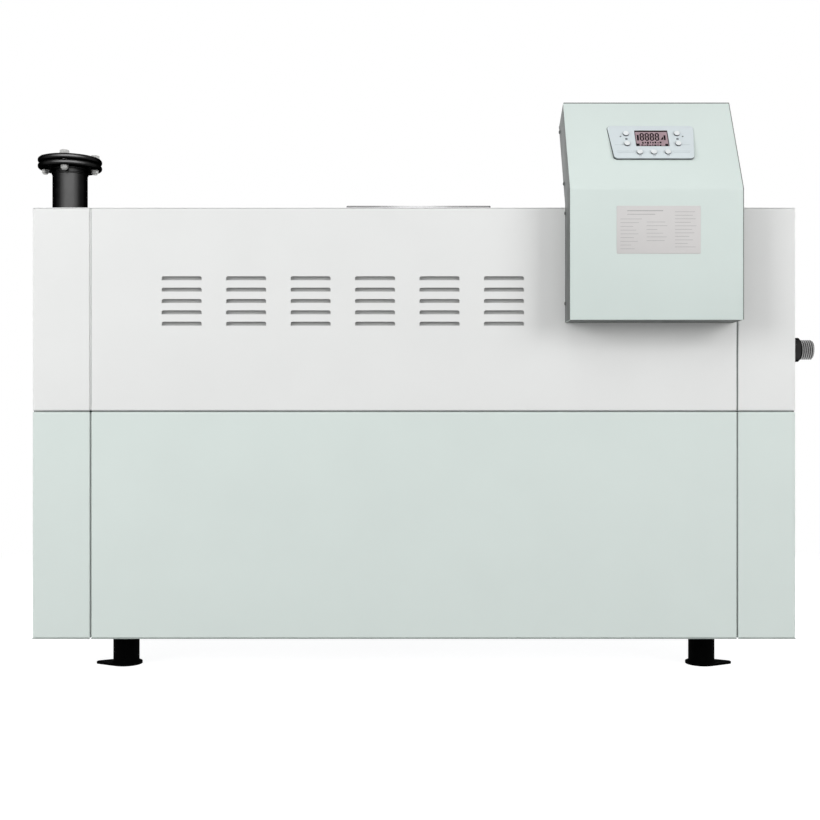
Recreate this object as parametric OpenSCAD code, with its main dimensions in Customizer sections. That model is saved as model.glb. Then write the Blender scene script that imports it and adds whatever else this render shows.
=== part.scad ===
// Commercial condensing gas boiler: a sheet-metal cabinet on four round-legged feet,
// with a bent control box, a flanged supply riser, a flue collar and a gas connection.
// The origin is on the floor under the middle of the cabinet, with the front facing -Y.

/* [Cabinet] */
// Overall width of the cabinet
cab_w = 2200; // [2100:10:2800]
// Overall depth of the cabinet
cab_d = 900; // [860:10:1200]
// Height of the cabinet above its feet
cab_h = 1240; // [1240:10:1500]
// Height of the lower row of panels
lower_h = 651; // [580:1:740]
// Width of the end panels where they return on to the front and the rear
return_w = 168; // [150:1:220]
// Gap between neighbouring panels
panel_gap = 4; // [2:0.5:8]
// Thickness of the panel sheet
sheet = 2; // [1:0.5:3]
// Depth of the folded panel edges
fold = 20; // [16:1:28]
// Outside bend radius of the cabinet's upright corners
bend_r = 8; // [5:1:15]
// Outside bend radius of the panels' folded edges
edge_r = 3.5; // [3.5:0.5:6]

/* [Louvres] */
// Number of louvre columns
louvre_cols = 6; // [1:1:6]
// Number of louvre rows
louvre_rows = 5; // [1:1:8]
// Width of one louvre slot
louvre_w = 115.5; // [60:0.5:140]
// Height of one louvre slot
louvre_h = 11.5; // [6:0.5:14]
// How far a louvre is pressed in behind the sheet
louvre_in = 12; // [6:0.5:14]
// Thickness of the pressed louvre metal
louvre_t = 1.5; // [1:0.5:2.5]
// Distance from one column to the next
louvre_pitch_x = 185.7; // [160:0.1:190]
// Distance from one row to the next
louvre_pitch_z = 32.7; // [26:0.1:40]
// From the seam of the end panel to the first column
louvre_inset = 205; // [100:1:210]
// From the cabinet's top down to the middle of the first row
louvre_drop = 203.5; // [120:0.5:240]

/* [Frame] */
// Side of the square posts and rails
post_w = 40; // [30:1:50]
// Width of the base frame's rails
base_w = 60; // [50:1:80]
// Height of the base frame's rails
base_h = 60; // [40:1:80]
// Width of the base frame's cross rails over the feet
cross_w = 100; // [80:1:140]

/* [Feet] */
// Height of the feet under the cabinet
foot_h = 95; // [60:1:160]
// Diameter of a leg
leg_d = 76; // [60:1:90]
// Wall of a leg
leg_wall = 4; // [3:0.5:6]
// Thickness of a foot plate
plate_t = 6; // [5:1:14]
// Radius of a foot plate round its leg
plate_r = 47; // [46:1:60]
// From the leg's axis out to the anchor hole
anchor_out = 74; // [62:1:90]
// Radius of the foot plate's tip round the anchor hole
tip_r = 14; // [12:1:30]
// Diameter of the anchor hole
anchor_d = 14; // [10:1:20]
// From the cabinet's end to a leg's axis
foot_inset_x = 246; // [180:1:320]
// From the cabinet's front or rear to a leg's axis
foot_inset_y = 105; // [100:1:180]

/* [Boiler vessel] */
// Height of the vessel's axis above the cabinet's underside
vessel_h = 665; // [640:1:680]
// Wall of the vessel
vessel_wall = 12; // [8:1:25]
// Thickness of the vessel's end plates
end_t = 20; // [12:1:30]
// How far the end plates stand out beyond the vessel's wall
end_lip = 25; // [20:1:40]
// From the cabinet's end to the vessel's end plate
vessel_end_gap = 220; // [215:1:300]
// Clearance between the end plates and the middle rails
vessel_clear = 5; // [3:0.5:10]
// Thickness of a saddle plate
saddle_t = 30; // [12:1:60]
// Width of a saddle plate
saddle_w = 520; // [300:10:600]
// From the vessel's end plate to a saddle
saddle_in = 120; // [60:5:400]

/* [Control box] */
// Width of the control box
box_w = 484; // [440:1:500]
// Thickness of the control box from front to back
box_t = 102; // [70:1:130]
// From the cabinet's right end to the middle of the control box
box_inset = 423; // [415:1:450]
// How far the control box hangs below the cabinet's top
box_drop = 332; // [280:1:380]
// How far the front bend stands above the cabinet's top
bend_rise = 36; // [32:1:60]
// Length of the leaning front face above the bend
slope_len = 316; // [290:1:380]
// Lean of the upper face from the upright
lean = 28; // [15:1:35]
// Bend radius between the upright and the leaning face
knee_r = 30; // [5:1:60]

/* [Controls] */
// Thickness of the control panel along its lower edge
panel_t = 9; // [5:0.5:12]
// Thickness of the control panel along its upper edge
panel_t_high = 2; // [1:0.5:4]
// Sideways place of the control panel from the box's middle
panel_x = 3; // [-40:1:40]
// From the front bend up to the control panel
panel_up = 100.7; // [60:0.1:130]
// Height of the control panel along the slope
panel_h = 125.6; // [120:0.1:150]
// Width of the control panel along its bottom edge
panel_w_low = 228; // [220:1:300]
// Width of the control panel along its top edge
panel_w_high = 248; // [230:1:320]
// Corner radius of the control panel
panel_r = 12; // [4:1:20]
// Width of the display window
lcd_w = 95; // [70:1:110]
// Height of the display window
lcd_h = 61; // [40:1:66]
// From the control panel's lower edge up to the display window
lcd_up = 45.5; // [40:0.5:52]
// How far the display window lies below the control panel's face
lcd_sink = 1; // [0.5:0.5:2]
// Diameter of a push button
button_d = 17; // [10:0.5:20]
// Height of a push button above the control panel
button_h = 5.5; // [1:0.5:6]
// Sideways distance from the display's middle to the outer buttons
button_side = 73; // [66:1:90]
// Distance between the two rows of outer buttons
button_rise = 38; // [24:1:44]
// Distance between the buttons below the display
button_pitch = 40; // [24:1:60]
// From the control panel's lower edge up to the lowest buttons
button_up = 25.3; // [16:0.1:30]

/* [Supply and return] */
// Outside diameter of the water pipes
pipe_d = 101.6; // [80:0.1:103]
// Wall of the water pipes
pipe_wall = 4; // [3:0.5:8]
// From the cabinet's end to the supply riser's axis
supply_inset = 74; // [73:1:90]
// From the cabinet's front to the supply riser's axis
supply_back = 120; // [120:1:180]
// From the cabinet's top up to the supply flange
supply_rise = 133; // [80:1:220]
// Bend radius of the supply elbow
elbow_r = 110; // [80:1:140]
// Outside diameter of the flanges
flange_d = 185; // [180:1:220]
// Thickness of a flange
flange_t = 15; // [14:1:28]
// Rounding of a flange's rim, as a share of its thickness
rim_share = 0.45; // [0.1:0.05:0.45]
// Bolt circle diameter of the flanges
bolt_circle = 145; // [143:1:155]
// Diameter of the flange bolt holes
bolt_hole = 18; // [12:1:22]
// Turn of the bolt circle about the riser
bolt_turn = 4; // [0:0.5:90]
// Thickness of the gasket between the flanges
gasket_t = 2.5; // [2:0.5:5]
// From the gasket's edge to the flange bolts
gasket_in = 2; // [1:0.5:4]
// From the left saddle to the return pipe's axis
return_in = 160; // [100:5:400]
// How far the return pipe lies below the vessel's axis, as a share of the vessel's radius
return_share = 0.67; // [0.5:0.01:0.75]
// How far the return flange stands out behind the cabinet
return_out = 90; // [60:5:160]

/* [Flue] */
// Side of the square flue collar
flue_w = 445; // [380:5:560]
// Height of the flue collar above the cabinet
flue_h = 46; // [30:1:120]
// Width of the flue collar's foot on the top panel
flue_foot = 25; // [15:1:40]
// Sideways place of the flue from the cabinet's middle
flue_x = 15; // [-100:5:100]
// Inside diameter of the flue socket
flue_d = 300; // [200:5:340]
// Depth of the flue socket below the collar's top
socket_deep = 100; // [60:5:140]
// How far the duct stands in below the socket, as a stop for the flue pipe
flue_stop = 4; // [2:0.5:8]

/* [Gas] */
// Height of the gas connection above the cabinet's underside
gas_h = 838; // [820:1:850]
// From the cabinet's front to the gas connection
gas_back = 150; // [150:1:200]
// Outside diameter of the gas pipe and its nipple
gas_d = 59.6; // [40:0.1:64]
// Wall of the gas pipe
gas_wall = 4; // [3:0.5:6]
// Wall of the gas socket
socket_wall = 6.2; // [4:0.1:9]
// How far the gas socket stands out of the cabinet
socket_out = 59; // [40:1:90]
// Chamfer on the gas socket's rim
socket_chamfer = 4; // [1:0.5:5]
// How much the pipe is turned down where it screws into the socket
thread_deep = 1.5; // [0.5:0.1:2]
// How far the nipple stands out of the socket
nipple_out = 38; // [20:1:60]

/* [Hidden] */
$fn = 64;
// Clearance between curved parts that fit in one another
fit = 0.2;
// Room round a pipe where it passes through a panel
pass = 3;
// Overlap that carries a cut past a face
eps = 1;
cab_top = foot_h + cab_h;
front_y = -cab_d / 2;
end_x = cab_w / 2;
seam_x = end_x - return_w;
seam_z = foot_h + lower_h + panel_gap / 2;
lid_z = cab_top - sheet;
tray_w = 2 * seam_x - panel_gap;
upper_z = foot_h + lower_h + panel_gap;
upper_h = lid_z - upper_z;
frame_x = end_x - fold;
frame_y = cab_d / 2 - fold;
frame_z = foot_h + sheet;
base_top = frame_z + base_h;
foot_x = end_x - foot_inset_x;
foot_y = cab_d / 2 - foot_inset_y;
vessel_z = foot_h + vessel_h;
vessel_end_r = frame_y - post_w - vessel_clear;
vessel_r = vessel_end_r - end_lip;
vessel_end_x = end_x - vessel_end_gap;
saddle_x = vessel_end_x - end_t - saddle_in;
box_x = end_x - box_inset;
box_y = front_y - box_t;
box_bottom = cab_top - box_drop;
box_bend = cab_top + bend_rise;
panel_slope = (panel_t_high - panel_t) / panel_h;
lcd_mid = lcd_up + lcd_h / 2;
supply_x = -(end_x - supply_inset);
supply_y = front_y + supply_back;
supply_z = cab_top + supply_rise;
rim_r = rim_share * flange_t;
gasket_d = bolt_circle - bolt_hole - 2 * gasket_in;
gasket_z = supply_z + flange_t;
companion_z = gasket_z + gasket_t;
return_x = -(saddle_x - return_in);
return_z = vessel_z - return_share * vessel_r;
return_end = cab_d / 2 + return_out;
flue_r = flue_d / 2 + sheet;
flue_top = cab_top + flue_h;
flue_seat = flue_top - socket_deep;
gas_y = front_y + gas_back;
gas_z = foot_h + gas_h;
socket_end = end_x + socket_out;
screw_d = gas_d - 2 * thread_deep;
socket_bore = screw_d / 2 + fit;
socket_r = socket_bore + thread_deep + socket_wall;
// Points in one rounded corner of an outline
corner_steps = 6;
// Points in one folded edge
edge_steps = 3;
// Points in the curve of a louvre
louvre_steps = 5;

// Points of an arc of radius r about c, from angle a to angle b
function arc(c, r, a, b, steps = corner_steps) =
    [for (i = [0 : steps]) let (t = a + (b - a) * i / steps) c + r * [cos(t), sin(t)]];

// Outline of a rectangle centred on the origin, with rounded corners
function rounded_rect(w, d, r, steps = corner_steps) = concat(
    arc([w / 2 - r, d / 2 - r], r, 0, 90, steps),
    arc([-w / 2 + r, d / 2 - r], r, 90, 180, steps),
    arc([-w / 2 + r, -d / 2 + r], r, 180, 270, steps),
    arc([w / 2 - r, -d / 2 + r], r, 270, 360, steps)
);

// Outline of a rectangle from the origin, with the two corners on its far side rounded
function far_rounded(w, d, r) = concat(
    [[0, 0], [w, 0]],
    arc([w - r, d - r], r, 0, 90, edge_steps),
    arc([r, d - r], r, 90, 180, edge_steps)
);

// Plan outline of the right end panel, moved inwards by inset
function end_outline(inset) = let (
    r = bend_r - inset,
    e = edge_r - inset,
    x = end_x - bend_r,
    y = cab_d / 2 - bend_r,
    seam = seam_x + panel_gap / 2 + edge_r
) concat(
    arc([seam, edge_r - cab_d / 2], e, -180, -90, edge_steps),
    arc([x, -y], r, -90, 0),
    arc([x, y], r, 0, 90),
    arc([seam, cab_d / 2 - edge_r], e, 90, 180, edge_steps)
);

// Outline of a foot plate: a disc round the leg drawn out to a rounded tip
function foot_outline() = let (t = acos((plate_r - tip_r) / anchor_out)) concat(
    arc([anchor_out, 0], tip_r, -t, t),
    arc([0, 0], plate_r, t, 360 - t, 4 * corner_steps)
);

// A point of the control box's side view, at a depth behind its front face:
// the bottom edge, the bend, or a place along the slope
function box_low(depth, z) = [box_y + depth, z];
function box_knee(depth) = [box_y + depth, box_bend - depth * tan(lean / 2)];
function box_high(depth, up) = [
    box_y + up * sin(lean) + depth * cos(lean),
    box_bend + up * cos(lean) - depth * sin(lean)
];

// The bend at a depth behind the front face, round where the depth is inside its radius
function box_bend_points(depth) = depth < knee_r
    ? arc(box_knee(knee_r), knee_r - depth, 180, 180 - lean)
    : [box_knee(depth)];

// Side view of a bent slab between two depths behind the control box's front face
function bent_slab(near, far, z, up) = concat(
    [box_low(near, z)],
    box_bend_points(near),
    [box_high(near, up), box_high(far, up), box_knee(far), box_low(far, z)]
);

// Draws a side view, given in Y and Z, as a solid of width w centred on x
module side_view(points, x, w) {
    translate([x - w / 2, 0, 0])
        rotate([90, 0, 90])
            linear_extrude(w)
                polygon(points);
}

// A straight tube from the origin up its own Z axis
module tube(outer_d, wall, length) {
    difference() {
        cylinder(d = outer_d, h = length);
        translate([0, 0, -eps])
            cylinder(d = outer_d - 2 * wall, h = length + 2 * eps);
    }
}

// The vessel's outside, for pipes that end on it
module vessel_round(extra) {
    translate([-vessel_end_x, 0, vessel_z])
        rotate([0, 90, 0])
            cylinder(r = vessel_r + extra, h = 2 * vessel_end_x);
}

// A flange ring with a rounded rim and four bolt holes
module flange(bore) {
    difference() {
        rotate_extrude()
            polygon(concat(
                [[bore / 2, 0]],
                arc([flange_d / 2 - rim_r, rim_r], rim_r, -90, 0),
                arc([flange_d / 2 - rim_r, flange_t - rim_r], rim_r, 0, 90),
                [[bore / 2, flange_t]]
            ));
        for (i = [0 : 3])
            rotate(bolt_turn + 90 * i)
                translate([bolt_circle / 2, 0, -eps])
                    cylinder(d = bolt_hole, h = flange_t + 2 * eps);
    }
}

// Puts its children on the box's slope: X across, Z up the slope, -Y out of the face
module on_slope(up) {
    translate([box_x + panel_x, box_y, box_bend])
        rotate([-lean, 0, 0])
            translate([0, 0, up])
                children();
}

// The block inside a flat panel's skin, moved inwards by inset and carried back past its fold
module tray_block(w, h, inset, back) {
    r = edge_r - inset;
    d = fold + back - inset;
    intersection() {
        linear_extrude(h)
            polygon([for (p = far_rounded(w - 2 * inset, d, r))
                [inset - w / 2 + p[0], fold + back - p[1]]]);
        side_view(
            [for (p = far_rounded(h - 2 * inset, d, r)) [fold + back - p[1], inset + p[0]]],
            0, w
        );
    }
}

// A flat panel with its edges folded back, standing on z with its face at the front
module tray(z, h) {
    translate([0, front_y, z])
        difference() {
            tray_block(tray_w, h, 0, 0);
            tray_block(tray_w, h, sheet, eps);
        }
}

// Front view of one louvre slot: square below, rounded above
module louvre_slot() {
    r = louvre_h / 2;
    translate([0, sheet + eps, 0])
        rotate([90, 0, 0])
            linear_extrude(sheet + 2 * eps)
                polygon(concat(
                    [[0, 0], [louvre_w, 0]],
                    arc([louvre_w - r, louvre_h - r], r, 0, 90),
                    arc([r, louvre_h - r], r, 90, 180)
                ));
}

// Quarter ellipse from a louvre's upper edge in to its free lower edge
function louvre_curve(grow, from, to) =
    [for (i = [0 : louvre_steps]) let (t = from + (to - from) * i / louvre_steps)
        [sheet + (louvre_in + grow - sheet) * sin(t), (louvre_h + grow) * cos(t)]];

// One louvre pressed in behind the sheet, closed at both ends and open below
module louvre_scoop() {
    root_y = sheet / 2;
    rotate([90, 0, 90])
        linear_extrude(louvre_w)
            polygon(concat(
                [[root_y, louvre_h], [root_y, louvre_h + louvre_t]],
                louvre_curve(louvre_t, 0, 90),
                louvre_curve(0, 90, 0)
            ));
    for (x = [-louvre_t, louvre_w])
        translate([x, 0, 0])
            rotate([90, 0, 90])
                linear_extrude(louvre_t)
                    polygon(concat(
                        [[root_y, 0], [root_y, louvre_h + louvre_t]],
                        louvre_curve(louvre_t, 0, 90)
                    ));
}

// Places its children at each louvre's lower left corner
module each_louvre() {
    for (col = [0 : louvre_cols - 1], row = [0 : louvre_rows - 1])
        translate([
            -seam_x + louvre_inset + col * louvre_pitch_x,
            front_y,
            cab_top - louvre_drop - louvre_h / 2 - row * louvre_pitch_z
        ])
            children();
}

module louvred_panel() {
    difference() {
        tray(upper_z, upper_h);
        each_louvre() louvre_slot();
    }
    each_louvre() louvre_scoop();
}

// The block inside the right end panel's skin, moved inwards by inset
module end_block(h, inset) {
    r = edge_r - inset;
    intersection() {
        linear_extrude(h)
            polygon(end_outline(inset));
        translate([0, cab_d / 2, 0])
            rotate([90, 0, 0])
                linear_extrude(cab_d)
                    polygon([for (p = far_rounded(h - 2 * inset, return_w - inset, r))
                        [seam_x + p[1], inset + p[0]]]);
        translate([0, 0, h / 2])
            side_view(
                rounded_rect(cab_d - 2 * inset, h - 2 * inset, r, edge_steps),
                end_x, 2 * return_w
            );
    }
}

// An end panel that wraps round from the front to the rear, on the right
module end_panel(z, h) {
    translate([0, 0, z])
        difference() {
            end_block(h, 0);
            end_block(h, sheet);
            translate([seam_x - eps, front_y + fold, -eps])
                cube([return_w - fold + eps, cab_d - 2 * fold, h + 2 * eps]);
        }
}

// A square rail between two corners
module rail(from, to) {
    translate(from)
        cube(to - from);
}

module base_frame() {
    color("dimgray")
        union() {
            for (side = [-1, 1]) {
                translate([-frame_x, side * (frame_y - base_w / 2) - base_w / 2, frame_z])
                    cube([2 * frame_x, base_w, base_h]);
                translate([side * (frame_x - base_w / 2) - base_w / 2, -frame_y, frame_z])
                    cube([base_w, 2 * frame_y, base_h]);
                translate([side * foot_x - cross_w / 2, -frame_y, frame_z])
                    cube([cross_w, 2 * frame_y, base_h]);
            }
        }
}

module bottom_pan() {
    color("gray")
        rail([-frame_x, -frame_y, foot_h], [frame_x, frame_y, frame_z]);
}

// One foot, with its tip pointing out to the side
module foot(side_x, side_y) {
    color([0.05, 0.05, 0.05])
        translate([side_x * foot_x, side_y * foot_y, 0])
            mirror([side_x < 0 ? 1 : 0, 0, 0]) {
                difference() {
                    linear_extrude(plate_t)
                        polygon(foot_outline());
                    translate([anchor_out, 0, -eps])
                        cylinder(d = anchor_d, h = plate_t + 2 * eps);
                }
                translate([0, 0, plate_t])
                    tube(leg_d, leg_wall, foot_h - plate_t);
            }
}

module frame_posts() {
    color("slategray")
        for (x = [-seam_x, seam_x], y = [-frame_y, frame_y - post_w])
            translate([x - post_w / 2, y, base_top])
                cube([post_w, post_w, lid_z - base_top]);
}

// The middle rail behind the panel seam and the top rail, at the front
module cross_rails() {
    x = seam_x - post_w / 2;
    for (z = [seam_z - post_w / 2, lid_z - post_w])
        rail([-x, -frame_y, z], [x, post_w - frame_y, z + post_w]);
}

module front_rails() {
    color("slategray")
        cross_rails();
}

module rear_rails() {
    color("slategray")
        mirror([0, 1, 0])
            cross_rails();
}

module end_rails() {
    color("slategray")
        for (x = [-seam_x, seam_x])
            rail(
                [x - post_w / 2, post_w - frame_y, lid_z - post_w],
                [x + post_w / 2, frame_y - post_w, lid_z]
            );
}

module vessel_shell() {
    color("silver")
        translate([end_t - vessel_end_x, 0, vessel_z])
            rotate([0, 90, 0])
                tube(2 * vessel_r, vessel_wall, 2 * (vessel_end_x - end_t));
}

module vessel_end_left() {
    color("silver")
        translate([-vessel_end_x, 0, vessel_z])
            rotate([0, 90, 0])
                cylinder(r = vessel_end_r, h = end_t);
}

module vessel_end_right() {
    color("silver")
        translate([vessel_end_x - end_t, 0, vessel_z])
            rotate([0, 90, 0])
                cylinder(r = vessel_end_r, h = end_t);
}

module vessel_saddles() {
    color("dimgray")
        difference() {
            for (x = [-saddle_x, saddle_x])
                translate([x - saddle_t / 2, -saddle_w / 2, base_top])
                    cube([saddle_t, saddle_w, vessel_z - base_top]);
            vessel_round(fit);
        }
}

module front_lower_panel() {
    color([0.82, 0.86, 0.85])
        tray(foot_h, lower_h);
}

module front_upper_panel() {
    color([0.91, 0.91, 0.91])
        louvred_panel();
}

module rear_lower_panel() {
    color([0.82, 0.86, 0.85])
        difference() {
            rotate(180)
                tray(foot_h, lower_h);
            translate([return_x, 0, return_z])
                rotate([-90, 0, 0])
                    cylinder(d = pipe_d + 2 * pass, h = cab_d);
        }
}

module rear_upper_panel() {
    color([0.91, 0.91, 0.91])
        rotate(180)
            louvred_panel();
}

module left_lower_panel() {
    color([0.82, 0.86, 0.85])
        mirror([1, 0, 0])
            end_panel(foot_h, lower_h);
}

module left_upper_panel() {
    color([0.91, 0.91, 0.91])
        mirror([1, 0, 0])
            end_panel(upper_z, upper_h);
}

module right_lower_panel() {
    color([0.82, 0.86, 0.85])
        end_panel(foot_h, lower_h);
}

module right_upper_panel() {
    color([0.91, 0.91, 0.91])
        difference() {
            end_panel(upper_z, upper_h);
            translate([0, gas_y, gas_z])
                rotate([0, 90, 0])
                    cylinder(r = socket_r + fit, h = cab_w);
        }
}

module top_panel() {
    color([0.91, 0.91, 0.91])
        translate([0, 0, lid_z])
            difference() {
                linear_extrude(sheet)
                    polygon(rounded_rect(cab_w, cab_d, bend_r));
                translate([supply_x, supply_y, -eps])
                    cylinder(d = pipe_d + 2 * pass, h = sheet + 2 * eps);
                translate([flue_x, 0, -eps])
                    cylinder(r = flue_r + pass, h = sheet + 2 * eps);
            }
}

module control_box() {
    color([0.83, 0.88, 0.86])
        difference() {
            side_view(bent_slab(0, box_t - sheet, box_bottom, slope_len), box_x, box_w);
            side_view(
                bent_slab(sheet, box_t, box_bottom + sheet, slope_len - sheet),
                box_x, box_w - 2 * sheet
            );
        }
}

module control_box_back() {
    color([0.83, 0.88, 0.86])
        side_view(bent_slab(box_t - sheet, box_t, box_bottom, slope_len), box_x, box_w);
}

// Outline of the control panel, wider at the top, with rounded corners
function control_outline() = let (
    low = panel_w_low / 2 - panel_r,
    high = panel_w_high / 2 - panel_r,
    top = panel_h - panel_r
) concat(
    arc([low, panel_r], panel_r, -90, 0),
    arc([high, top], panel_r, 0, 90),
    arc([-high, top], panel_r, 90, 180),
    arc([-low, panel_r], panel_r, 180, 270)
);

// Puts its children on the control panel's face: X across, Y up the slope, Z out of the face
module on_panel(x, up) {
    translate([x, up, panel_t + panel_slope * up])
        rotate([atan(panel_slope), 0, 0])
            children();
}

// Turns what is drawn flat on to the box's slope, at the control panel's lower edge
module on_slope_flat() {
    on_slope(panel_up)
        rotate([90, 0, 0])
            children();
}

module control_panel() {
    wedge = [[0, 0], [panel_h, 0], [panel_h, panel_t_high], [0, panel_t]];
    color([0.85, 0.89, 0.89])
        on_slope_flat()
            difference() {
                intersection() {
                    linear_extrude(panel_t)
                        polygon(control_outline());
                    side_view(wedge, 0, 2 * panel_w_high);
                }
                translate([-lcd_w / 2, lcd_up, -eps])
                    cube([lcd_w, lcd_h, panel_t + 2 * eps]);
            }
}

module display_window() {
    color([0.55, 0.47, 0.5])
        on_slope_flat()
            difference() {
                translate([fit - lcd_w / 2, lcd_up + fit, 0])
                    cube([lcd_w - 2 * fit, lcd_h - 2 * fit, panel_t]);
                on_panel(0, lcd_mid)
                    translate([-lcd_w, -lcd_h, -lcd_sink])
                        cube([2 * lcd_w, 2 * lcd_h, 2 * panel_t]);
            }
}

// One push button standing on the control panel
module button(x, up) {
    on_slope_flat()
        on_panel(x, up)
            cylinder(d = button_d, h = button_h);
}

module panel_buttons() {
    color([0.88, 0.9, 0.9]) {
        for (x = [-button_side, button_side], row = [-1, 1])
            button(x, lcd_mid + row * button_rise / 2);
        for (i = [-1 : 1])
            button(i * button_pitch, button_up);
    }
}

module supply_pipe() {
    turn_x = supply_x + elbow_r;
    turn_z = vessel_z + elbow_r;
    color([0.06, 0.06, 0.06])
        union() {
            translate([supply_x, supply_y, turn_z])
                tube(pipe_d, pipe_wall, gasket_z - turn_z);
            translate([turn_x, supply_y, turn_z])
                rotate([90, 0, 0])
                    rotate(180)
                        rotate_extrude(angle = 90)
                            translate([elbow_r, 0])
                                difference() {
                                    circle(d = pipe_d);
                                    circle(d = pipe_d - 2 * pipe_wall);
                                }
            translate([turn_x, supply_y, vessel_z])
                rotate([0, 90, 0])
                    tube(pipe_d, pipe_wall, -vessel_end_x - turn_x);
        }
}

module supply_flange() {
    color([0.06, 0.06, 0.06])
        translate([supply_x, supply_y, supply_z])
            flange(pipe_d + 2 * fit);
}

module supply_gasket() {
    color("dimgray")
        translate([supply_x, supply_y, gasket_z])
            tube(gasket_d, (gasket_d - pipe_d) / 2 + pipe_wall, gasket_t);
}

module companion_flange() {
    color([0.06, 0.06, 0.06])
        translate([supply_x, supply_y, companion_z])
            flange(pipe_d + 2 * fit);
}

module return_pipe() {
    color([0.06, 0.06, 0.06])
        difference() {
            translate([return_x, 0, return_z])
                rotate([-90, 0, 0])
                    tube(pipe_d, pipe_wall, return_end);
            vessel_round(fit);
        }
}

module return_flange() {
    color([0.06, 0.06, 0.06])
        translate([return_x, return_end, return_z])
            rotate([90, 0, 0])
                flange(pipe_d + 2 * fit);
}

module flue_collar() {
    inside = flue_w - 2 * sheet;
    color([0.75, 0.75, 0.76])
        translate([flue_x, 0, cab_top])
            difference() {
                union() {
                    linear_extrude(flue_h)
                        polygon(rounded_rect(flue_w, flue_w, bend_r));
                    linear_extrude(sheet)
                        polygon(rounded_rect(flue_w + 2 * flue_foot, flue_w + 2 * flue_foot, bend_r));
                }
                translate([0, 0, -eps])
                    linear_extrude(flue_h - sheet + eps)
                        polygon(rounded_rect(inside, inside, bend_r - sheet));
                cylinder(r = flue_r + fit, h = flue_h + eps);
            }
}

module flue_socket() {
    color([0.75, 0.75, 0.76])
        translate([flue_x, 0, flue_seat])
            tube(2 * flue_r, sheet, socket_deep);
}

module flue_duct() {
    color("silver")
        difference() {
            translate([flue_x, 0, vessel_z])
                tube(2 * flue_r, sheet + flue_stop, flue_seat - vessel_z);
            vessel_round(fit);
        }
}

module gas_pipe() {
    color("silver")
        translate([vessel_end_x, gas_y, gas_z])
            rotate([0, 90, 0])
                tube(screw_d, gas_wall, end_x - vessel_end_x);
}

module gas_socket() {
    length = socket_out + fold;
    color([0.16, 0.16, 0.16])
        translate([end_x - fold, gas_y, gas_z])
            rotate([0, 90, 0])
                rotate_extrude()
                    polygon([
                        [socket_bore, 0],
                        [socket_r, 0],
                        [socket_r, length - socket_chamfer],
                        [socket_r - socket_chamfer, length],
                        [socket_bore, length]
                    ]);
}

module gas_nipple() {
    bore = screw_d / 2 - gas_wall;
    length = socket_out + nipple_out;
    color("silver")
        translate([end_x, gas_y, gas_z])
            rotate([0, 90, 0])
                rotate_extrude()
                    polygon([
                        [bore, 0],
                        [screw_d / 2, 0],
                        [screw_d / 2, socket_out],
                        [gas_d / 2, socket_out],
                        [gas_d / 2, length],
                        [bore, length]
                    ]);
}

base_frame();
bottom_pan();
foot(-1, -1);  // foot_front_left
foot(1, -1);  // foot_front_right
foot(-1, 1);  // foot_rear_left
foot(1, 1);  // foot_rear_right
frame_posts();
front_rails();
rear_rails();
end_rails();
vessel_shell();
vessel_end_left();
vessel_end_right();
vessel_saddles();
front_lower_panel();
front_upper_panel();
rear_lower_panel();
rear_upper_panel();
left_lower_panel();
left_upper_panel();
right_lower_panel();
right_upper_panel();
top_panel();
control_box();
control_box_back();
control_panel();
display_window();
panel_buttons();
supply_pipe();
supply_flange();
supply_gasket();
companion_flange();
return_pipe();
return_flange();
flue_collar();
flue_socket();
flue_duct();
gas_pipe();
gas_socket();
gas_nipple();
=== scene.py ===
"""Looks of the industrial boiler, in metres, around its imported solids."""

import math

import bmesh
import bpy
from mathutils import Matrix, Vector


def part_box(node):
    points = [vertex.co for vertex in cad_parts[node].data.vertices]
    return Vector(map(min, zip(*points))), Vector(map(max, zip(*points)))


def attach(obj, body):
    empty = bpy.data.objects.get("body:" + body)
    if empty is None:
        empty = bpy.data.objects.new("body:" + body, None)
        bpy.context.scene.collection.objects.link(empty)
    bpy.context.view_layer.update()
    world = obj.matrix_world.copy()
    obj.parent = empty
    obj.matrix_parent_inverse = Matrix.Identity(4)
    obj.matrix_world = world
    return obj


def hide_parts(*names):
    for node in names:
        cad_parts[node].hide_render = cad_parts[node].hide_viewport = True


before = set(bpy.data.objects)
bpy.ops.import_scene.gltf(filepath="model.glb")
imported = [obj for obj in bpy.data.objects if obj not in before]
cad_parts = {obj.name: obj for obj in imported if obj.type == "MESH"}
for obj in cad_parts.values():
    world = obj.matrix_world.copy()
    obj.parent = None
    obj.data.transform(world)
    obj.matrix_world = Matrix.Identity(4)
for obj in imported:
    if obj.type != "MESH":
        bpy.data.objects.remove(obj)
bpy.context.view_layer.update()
scene = bpy.context.scene

# Places taken over from the solids, in metres
SUPPLY = Vector((-1.026, -0.330, 0.0))
FLANGE_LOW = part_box("supply_flange")[0].z
FLANGE_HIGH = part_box("companion_flange")[1].z
BOLT_RING = 0.0725
BOLT_TURN = 4.0
RETURN = Vector((-0.580, 0.540, 0.5188))
GAS_Y = -0.300
GAS_Z = 0.933
SOCKET_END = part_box("gas_socket")[1].x
NIPPLE_START = 1.100
NIPPLE_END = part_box("gas_nipple")[1].x
FOOT_X = 0.854
FOOT_Y = 0.345
PLATE = 0.006
BOX_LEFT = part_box("control_box")[0].x
BOX_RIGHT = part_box("control_box")[1].x
BOX_FRONT = -0.552
BOX_BOTTOM = 1.003
BOX_BEND = 1.371
BOX_SLOPE = 0.316
BOX_DEEP = 0.100
KNEE = 0.030
LEAN = math.radians(28)
PANEL_X = 0.680
PANEL_UP = 0.1007
PANEL_H = 0.1256
PANEL_LOW = 0.228
PANEL_HIGH = 0.248
PANEL_R = 0.012
WEDGE_LOW = 0.009
WEDGE_HIGH = 0.002
LCD_W = 0.095
LCD_H = 0.061
LCD_UP = 0.0455
LCD_MID = LCD_UP + LCD_H / 2
SEAM = 0.932
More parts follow.
